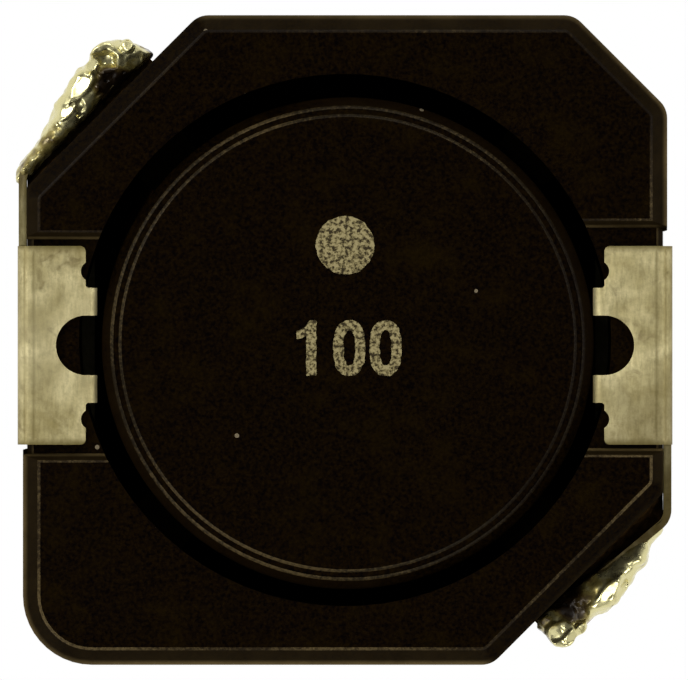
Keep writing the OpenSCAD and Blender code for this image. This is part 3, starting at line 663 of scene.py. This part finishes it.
# ---------------------------------------------------------------- Solder joints
# Hand-soldered: tin has run along the arm and frozen in lumps round the wire end, bright where
# it is clean and brown where flux was left behind, darker still towards the core as painted shade.
def bright_solder(name, dark_at):
    """Frozen tin solder: bright lumps, brown flux with painted shade on the core's side, darkest at one
    place.
    """
    material, tree, shader = finish_of(name)
    place = place_of(tree)
    blotch = add(tree, "TexNoise", {"Vector": place, "Scale": per_mm(0.4), "Detail": 3.0, "Roughness": 0.55})
    frost = add(tree, "TexNoise", {"Vector": place, "Scale": per_mm(0.16), "Detail": 2.0})
    slant = add(tree, "VectorMath", {0: place, 1: (-math.sqrt(0.5), math.sqrt(0.5), 0)},
                operation="DOT_PRODUCT")
    out = add(tree, "Math", {0: slant.outputs["Value"]}, operation="ABSOLUTE")
    # Towards the core the solder turns brown with flux and dark with painted shade.
    inner = add(tree, "MapRange", {"Value": out.outputs[0], "From Min": 6.9 * MM, "From Max": 6.42 * MM,
                                   "To Min": -0.12, "To Max": 0.18})
    # Burnt flux and painted shade darken one spot, in a hollow of the top.
    level = add(tree, "VectorMath", {0: place, 1: (1, 1, 0)}, operation="MULTIPLY")
    pooled = add(tree, "VectorMath", {0: level.outputs[0], 1: dark_at}, operation="DISTANCE")
    soot_and_shade_spot = add(tree, "MapRange", {"Value": pooled.outputs["Value"], "From Min": 0.42 * MM,
                                  "From Max": 0.2 * MM, "To Max": 0.4})
    flux_and_painted_shade = add(tree, "Math", {0: inner.outputs[0], 1: blotch.outputs["Fac"]}, operation="ADD")
    flux_and_painted_shade = add(tree, "Math", {0: flux_and_painted_shade.outputs[0], 1: soot_and_shade_spot.outputs[0]}, operation="ADD")
    residue = add(tree, "ValToRGB", {0: flux_and_painted_shade.outputs[0]})
    for stop, at, code in zip(residue.color_ramp.elements, (0.5, 0.92), ("#dad29c", "#1c1206")):
        stop.position = at
        stop.color = linear(code)
    residue.color_ramp.elements.new(0.62).color = linear("#94864a")
    residue.color_ramp.elements.new(0.76).color = linear("#4c3d1e")
    gloss = add(tree, "MapRange", {"Value": frost.outputs["Fac"], "From Min": 0.35, "From Max": 0.7,
                                   "To Min": 0.18, "To Max": 0.42})
    bump = add(tree, "Bump", {"Height": frost.outputs["Fac"], "Strength": 0.15, "Distance": 0.01 * MM})
    bare = add(tree, "MapRange", {"Value": flux_and_painted_shade.outputs[0], "From Min": 0.5, "From Max": 0.75,
                                  "To Min": 0.9, "To Max": 0.25})
    feed(tree, shader, {"Metallic": bare.outputs[0], "Base Color": residue.outputs[0],
                        "Roughness": gloss.outputs[0], "Normal": bump.outputs[0]})
    return material


# In each pair of tables the -X joint comes first, and all is in mm. The run of solder along the
# arm: along the cut, inner and outer reach from the axis, and height of the crest.
RUNS = ([
    (-2.25, 6.4, 6.6, 3.98), (-1.95, 6.4, 6.68, 4.08), (-1.7, 6.4, 6.71, 4.06),
    (-1.4, 6.4, 6.77, 4.08), (-1.15, 6.4, 6.82, 4.07), (-0.85, 6.4, 6.94, 4.14),
    (-0.6, 6.4, 7.03, 4.2), (-0.25, 6.42, 7.12, 4.26), (0.05, 6.42, 7.17, 4.2),
    (0.27, 6.42, 7.12, 4.18), (0.5, 6.42, 7.22, 4.3), (0.8, 6.4, 7.18, 4.28),
    (1.0, 6.36, 7.0, 4.2), (1.15, 6.34, 6.75, 4.1), (1.24, 6.38, 6.5, 3.95),
], [
    (-1.72, 6.6, 6.76, 3.97), (-1.5, 6.58, 6.79, 4.02), (-1.3, 6.56, 6.82, 4.02),
    (-1.07, 6.54, 6.98, 4.1), (-0.85, 6.5, 7.0, 4.06), (-0.62, 6.48, 7.03, 4.12),
    (-0.35, 6.44, 7.09, 4.2), (-0.1, 6.42, 7.12, 4.26), (0.13, 6.39, 7.11, 4.2),
    (0.36, 6.32, 7.0, 4.18), (0.5, 6.29, 6.98, 4.18), (0.67, 6.28, 6.96, 4.18),
    (0.82, 6.3, 6.98, 4.16), (1.0, 6.3, 7.06, 4.22), (1.15, 6.32, 7.0, 4.15),
    (1.26, 6.4, 6.8, 4.0),
])
# Lumps on the run: along, out and up, then their half sizes the same three ways.
LUMPS = ([
    (-0.16, 6.9, 4.16, 0.24, 0.16, 0.16), (-0.64, 6.74, 4.1, 0.2, 0.1, 0.14),
    (1.0, 6.82, 4.2, 0.15, 0.15, 0.2), (-1.05, 6.6, 4.08, 0.2, 0.12, 0.1),
    (-1.6, 6.55, 4.04, 0.2, 0.1, 0.1), (-2.0, 6.55, 4.04, 0.12, 0.08, 0.1),
], [
    (-0.2, 6.84, 4.2, 0.4, 0.18, 0.16), (0.71, 6.96, 4.1, 0.17, 0.13, 0.2),
    (1.1, 6.66, 4.14, 0.14, 0.17, 0.2), (1.08, 6.48, 4.08, 0.15, 0.16, 0.18),
    (-0.95, 6.78, 4.08, 0.2, 0.12, 0.1), (-0.1, 6.56, 4.1, 0.3, 0.14, 0.1),
])
# Hollows in the top: along, out, radius and depth. The first in each is at the cut wire end.
DENTS = ([
    (0.57, 6.92, 0.22, 0.12), (0.24, 6.62, 0.24, 0.05), (-0.42, 6.62, 0.14, 0.05), (0.9, 6.5, 0.2, 0.06),
], [
    (0.47, 6.78, 0.22, 0.12), (-0.5, 6.95, 0.1, 0.08),
])
# Flat facets: along, out, half sizes, then the fall along and outwards.
FACETS = ([
    (-0.1, 6.88, 0.32, 0.18, -0.11, 0.41), (-0.66, 6.73, 0.24, 0.1, -0.11, 0.41),
    (1.02, 6.8, 0.14, 0.13, 0.1, 0.4), (0.28, 7.04, 0.2, 0.16, -0.2, 0.75),
], [
    (-0.2, 6.86, 0.4, 0.14, 0.14, 0.4), (0.71, 7.0, 0.16, 0.13, 0.14, 0.6),
    (1.1, 6.68, 0.22, 0.2, 0.38, 0.15), (1.08, 6.42, 0.14, 0.12, 0.5, -0.1),
    (0.93, 6.97, 0.2, 0.14, -0.1, 0.8),
])
RUN_HALF = 0.46                 # half the height of the run, in mm
RUN_SIDES = 24
RUN_FULLNESS = 0.75             # below 1 the run's section turns towards a rounded square
CROWN_R = (0.29 * MM, 0.25 * MM)                          # of the solder round the wire ends
CROWN_Z = 3.8 * MM
CROWN_H = 1.0 * MM
SOOT_AND_SHADE = ((0.3 * MM, 6.55 * MM), (0.5 * MM, 6.62 * MM))     # where burnt flux has pooled in a hollow, darkened also as painted shade
SOLDER_GRAIN = 0.02 * MM        # cells in which the run and its lumps are fused
RIPPLE = 0.3 * MM               # size of the ripples in which it froze
HOLLOW_FROM = 3.7               # hollows fade in above this height, in mm,
HOLLOW_FADE = 0.15              # over this much
FACET_FROM = 3.8 * MM
CUT_FACE = 8.85 / math.sqrt(2) * MM     # distance of the two soldered corner cuts from the axis
FACE_GAP = 0.05 * MM            # between the solder and the ferrite


def fuller(value, power):
    """A sine or cosine pushed outwards, so that a round turns towards a rounded square."""
    return math.copysign(abs(value) ** power, value)


def frozen_solder(name, index, seed):
    """A run of solder with lumps, hollows and facets, kept off the ferrite that it doesn't wet."""
    side = 1 - 2 * index
    draw = random.Random(seed)
    bm = bmesh.new()
    rings = []
    for u, near, far, crest in RUNS[index]:
        middle, half = (near + far) / 2, (far - near) / 2
        ring = []
        for k in range(RUN_SIDES):
            a = 2 * math.pi * k / RUN_SIDES
            d = middle + half * fuller(math.cos(a), RUN_FULLNESS)
            z = crest - RUN_HALF + RUN_HALF * fuller(math.sin(a), RUN_FULLNESS)
            ring.append(bm.verts.new(at_cut(u * MM, d * MM, z * MM, side)))
        rings.append(ring)
    for one, two in zip(rings, rings[1:]):
        for k in range(RUN_SIDES):
            j = (k + 1) % RUN_SIDES
            bm.faces.new((one[k], one[j], two[j], two[k]))
    bm.faces.new(rings[0])
    bm.faces.new(rings[-1][::-1])
    turn = Matrix.Rotation(math.radians(45), 4, "Z")
    for u, d, z, half_u, half_d, half_z in LUMPS[index]:
        size = Matrix.Diagonal((half_u * draw.uniform(0.9, 1.1), half_d, half_z, 1 / MM)) * MM
        centre = at_cut(u * MM, d * MM, z * MM - half_z * MM / 2, side)
        bmesh.ops.create_icosphere(bm, subdivisions=4, radius=1,
                                   matrix=Matrix.Translation(centre) @ turn @ size)
    crown = at_cut(END_U[index] + 0.04 * MM, END_D[index] + 0.02 * MM, CROWN_Z, side)
    bmesh.ops.create_cone(bm, segments=48, radius1=CROWN_R[index], radius2=CROWN_R[index],
                          depth=CROWN_H, cap_ends=True, matrix=Matrix.Translation(crown))
    bmesh.ops.recalc_face_normals(bm, faces=bm.faces)
    mesh = bpy.data.meshes.new(name)
    bm.to_mesh(mesh)
    bm.free()
    rough = bpy.data.objects.new(name + "_drops", mesh)
    scene.collection.objects.link(rough)
    fused = rough.modifiers.new("fuse", "REMESH")
    fused.mode = "VOXEL"
    fused.voxel_size = SOLDER_GRAIN
    relax = rough.modifiers.new("relax", "SMOOTH")
    relax.factor = 0.6
    relax.iterations = 22
    graph = bpy.context.evaluated_depsgraph_get()
    solid = bpy.data.meshes.new_from_object(rough.evaluated_get(graph))
    bpy.data.objects.remove(rough)
    bm = bmesh.new()
    bm.from_mesh(solid)
    bpy.data.meshes.remove(solid)
    bm.normal_update()
    out = Vector((-side, side, 0)) / math.sqrt(2)
    x_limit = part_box("solder_joint_left")[0].x
    shove = Vector((seed * 1.7, seed * 0.9, 0))
    planes = []
    for u, d, half_u, half_d, fall_u, fall_d in FACETS[index]:
        spot = at_cut(u * MM, d * MM, 0, side).xy
        near = [v.co.z for v in bm.verts if (v.co.xy - spot).length < 0.05 * MM]
        planes.append((u, d, half_u, half_d, fall_u, fall_d, max(near) / MM))
    hollows = [(at_cut(u * MM, d * MM, 0, side).xy, r * MM, deep * MM) for u, d, r, deep in DENTS[index]]
    moves = []
    for v in bm.verts:
        p = v.co / RIPPLE + shove
        lump = noise.noise(p) * 0.05 + noise.noise(p * 2.3) * 0.018
        upper = min(1.0, max(0.0, (v.co.z / MM - HOLLOW_FROM) / HOLLOW_FADE))
        warp = 1 + 0.9 * noise.noise(v.co / (0.15 * MM))
        sink = 0.0
        for at, r, deep in hollows:
            sink += deep * min(1.0, 1.8 * max(0.0, 1 - warp * (v.co.xy - at).length / r))
        move = v.normal * lump * MM - Vector((0, 0, sink * upper))
        along, reach = side * (v.co.x + v.co.y) / math.sqrt(2) / MM, v.co.dot(out) / MM
        for u, d, half_u, half_d, fall_u, fall_d, z in planes:
            near = 1.4 - 1.4 * math.hypot((along - u) / half_u, (reach - d) / half_d) ** 2
            if near > 0 and v.co.z > FACET_FROM:
                want = Vector((0, 0, (z - fall_u * (along - u) - fall_d * (reach - d)) * MM - v.co.z))
                move = move.lerp(want, min(1.0, near))
        moves.append(move)
    for v, move in zip(bm.verts, moves):
        v.co += move
        short = CUT_FACE + FACE_GAP - v.co.dot(out)
        if short > 0:
            v.co += out * short
        v.co.x = max(x_limit, min(-x_limit, v.co.x))
    solder = bright_solder(f"bright_{name}", at_cut(SOOT_AND_SHADE[index][0], SOOT_AND_SHADE[index][1], 0, side))
    return piece_from(bm, name, [solder], smooth_to=70)


for side, index, seed in (("left", 0, 3), ("right", 1, 8)):
    joint = frozen_solder(f"solder_{side}", index, seed)
    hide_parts(f"solder_joint_{side}")


# ---------------------------------------------------------------- Varnish web of painted shade
# A brown varnish web sags in the narrow gap between each arm and the core, high at both.
# It is a dark sheet put there as painted shade.
def shade_web_varnish():
    """Dark brown varnish for that sheet of painted shade: uneven, with a dull shine."""
    material, tree, shader = finish_of("shade_web_varnish")
    streak = add(tree, "TexNoise", {"Vector": place_of(tree), "Scale": per_mm(0.14), "Detail": 3.0})
    shade = add(tree, "ValToRGB", {0: streak.outputs["Fac"]})
    for stop, at, code in zip(shade.color_ramp.elements, (0.35, 0.7), ("#0c0602", "#37260f")):
        stop.position = at
        stop.color = linear(code)
    bump = add(tree, "Bump", {"Height": streak.outputs["Fac"], "Strength": 0.4, "Distance": 0.01 * MM})
    feed(tree, shader, {"Base Color": shade.outputs[0], "Normal": bump.outputs[0], "Roughness": 0.6,
                        "Specular IOR Level": 0.05})
    return material


SHADE_VARNISH = shade_web_varnish()
SHEET = 0.15 * MM               # the arms' thickness
ARM_FACE = ((6.602, -1.913, 0.5), (6.741, -1.729, -5))   # outer face of each arm: d at u, and slope
WEB_STEPS = 60
WEB_TOP = 3.92 * MM
WEB_DEPTH = 0.5 * MM
WEB_SAG = 0.35 * MM
WEB_SWAY = 0.12 * MM
SWAY_AT = (2.5, 6.5)            # where in the noise each web reads its sway
SIDE_X = 5.99 * MM              # the webs stay between the core's two clip sides


def painted_shade_web(name, index, first, last):
    """A web of painted shade along the cut, high at the arm and the core and sagging between them."""
    side = 1 - 2 * index
    face_d, face_u, slope = ARM_FACE[index]
    inner = CUT_FACE + 0.015 * MM
    bm = bmesh.new()
    rows = []
    for k in range(WEB_STEPS + 1):
        u = (first + (last - first) * k / WEB_STEPS) * MM
        outer = (face_d + math.tan(math.radians(slope)) * (u / MM - face_u)) * MM - SHEET + 0.03 * MM
        sway = WEB_SWAY * noise.noise(Vector((u / (0.5 * MM), SWAY_AT[index], 0)))
        row = []
        for t in (0.0, 0.2, 0.5, 0.8, 1.0):
            sag = WEB_SAG * (1 - (2 * t - 1) ** 2)
            row.append((inner + (outer - inner) * t, WEB_TOP - sag + sway))
        row += [(d, z - WEB_DEPTH) for d, z in reversed(row)]
        rows.append([bm.verts.new(at_cut(u, d, z, side)) for d, z in row])
        for v in rows[-1]:
            v.co.x = max(-SIDE_X, min(SIDE_X, v.co.x))
    count = len(rows[0])
    for a, b in zip(rows, rows[1:]):
        for i in range(count):
            j = (i + 1) % count
            bm.faces.new((a[i], a[j], b[j], b[i]))
    bm.faces.new(rows[0])
    bm.faces.new(rows[-1][::-1])
    bmesh.ops.recalc_face_normals(bm, faces=bm.faces)
    return piece_from(bm, name, [SHADE_VARNISH], smooth_to=50)


for side, index, first, last in (("left", 0, -2.2, 1.15), ("right", 1, -2.35, 1.22)):
    web = painted_shade_web(f"shade_web_{side}", index, first, last)


# ---------------------------------------------------------------- Printed mark
# Pad-printed in cream ink on the drum: a plain dot at the start of the winding and a plain
# number. The ink film is about a hundredth of a millimetre thick, ragged at its edges.
def cream_ink():
    """Cream pad-printing ink, thin enough for the ferrite's pores to show through as specks."""
    material, tree, shader = finish_of("cream_print_ink")
    place = place_of(tree)
    pores = add(tree, "TexNoise", {"Vector": place, "Scale": per_mm(0.08), "Detail": 2.0, "Roughness": 0.7})
    thin = add(tree, "ValToRGB", {0: pores.outputs["Fac"]})
    for stop, at, code in zip(thin.color_ramp.elements, (0.42, 0.6), ("#94885f", "#2c230c")):
        stop.position = at
        stop.color = linear(code)
    thin.color_ramp.elements.new(0.5).color = linear("#736843")
    feed(tree, shader, {"Base Color": thin.outputs[0], "Roughness": 0.7, "Specular IOR Level": 0.2})
    return material


INK_FILM = 0.012 * MM
INK_LIFT = 0.001 * MM           # keeps the film's underside off the ferrite
INK_STEP = 0.035 * MM           # length of the ragged steps along an edge
DOT_R = 0.55 * MM
STROKE = 0.19 * MM
DIGIT_H = 1.04 * MM
DIGIT_W = 0.6 * MM
DIGIT_FULLNESS = 0.8
drum_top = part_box("drum_core")[1].z


def ragged(point, amount=0.02 * MM):
    """A point of the ink's outline, moved a little by the roughness under it."""
    p = Vector((point.x, point.y, 0)) / (0.09 * MM)
    return point + amount * Vector((noise.noise(p), noise.noise(p + Vector((7, 3, 1))), 0))


def ink_ring(bm, outer, inner):
    """A raised film between two outlines, one inside the other."""
    low_o, low_i, top_o, top_i = [
        [bm.verts.new((*ragged(p).xy, drum_top + h)) for p in edge]
        for h in (INK_LIFT, INK_FILM) for edge in (outer, inner)]
    for i in range(len(outer)):
        j = (i + 1) % len(outer)
        for a, b in ((top_o, top_i), (low_i, low_o), (low_o, top_o), (top_i, low_i)):
            bm.faces.new((a[i], a[j], b[j], b[i]))


def ink_patch(bm, corners):
    """A raised film inside one outline, whose sides are cut into short ragged steps."""
    outline = []
    for a, b in zip(corners, corners[1:] + corners[:1]):
        steps = max(1, round((b - a).length / INK_STEP))
        outline += [ragged(a.lerp(b, i / steps)) for i in range(steps)]
    low, top = [[bm.verts.new((*p.xy, drum_top + h)) for p in outline] for h in (INK_LIFT, INK_FILM)]
    for i in range(len(outline)):
        j = (i + 1) % len(outline)
        bm.faces.new((low[i], low[j], top[j], top[i]))
    caps = [bm.faces.new(low[::-1]), bm.faces.new(top)]
    bmesh.ops.triangulate(bm, faces=caps)


def printed_mark():
    """A dot and the number 100, as one film of ink."""
    bm = bmesh.new()
    around = [2 * math.pi * i / 96 for i in range(96)]
    dot = Vector((0, 1.78, 0)) * MM
    ink_patch(bm, [dot + DOT_R * Vector((math.cos(a), math.sin(a), 0)) for a in around[::2]])
    middle = Vector((0.06, -0.15, 0)) * MM
    half_h, half_w = (DIGIT_H - STROKE) / 2, (DIGIT_W - STROKE) / 2
    one = middle - Vector((0.7 * MM, 0, 0))
    # Stem of the 1 with its flag, from the foot round by the flag's tip.
    ink_patch(bm, [one + Vector((x, y, 0)) * MM for x, y in (
        (0.1, -0.52), (0.1, 0.52), (-0.02, 0.52), (-0.08, 0.42), (-0.18, 0.35), (-0.27, 0.32), (-0.27, 0.17),
        (-0.17, 0.19), (-0.09, 0.24), (-0.09, -0.52))])
    for x in (0.02, 0.7):
        centre = middle + Vector((x * MM, 0, 0))
        edges = [[centre + Vector(((half_w + grow) * fuller(math.cos(a), DIGIT_FULLNESS),
                                   (half_h + grow) * fuller(math.sin(a), DIGIT_FULLNESS), 0))
                  for a in around] for grow in (STROKE / 2, -STROKE / 2)]
        ink_ring(bm, *edges)
    bmesh.ops.recalc_face_normals(bm, faces=bm.faces)
    return piece_from(bm, "printed_mark", [cream_ink()], smooth_to=30)


mark = printed_mark()
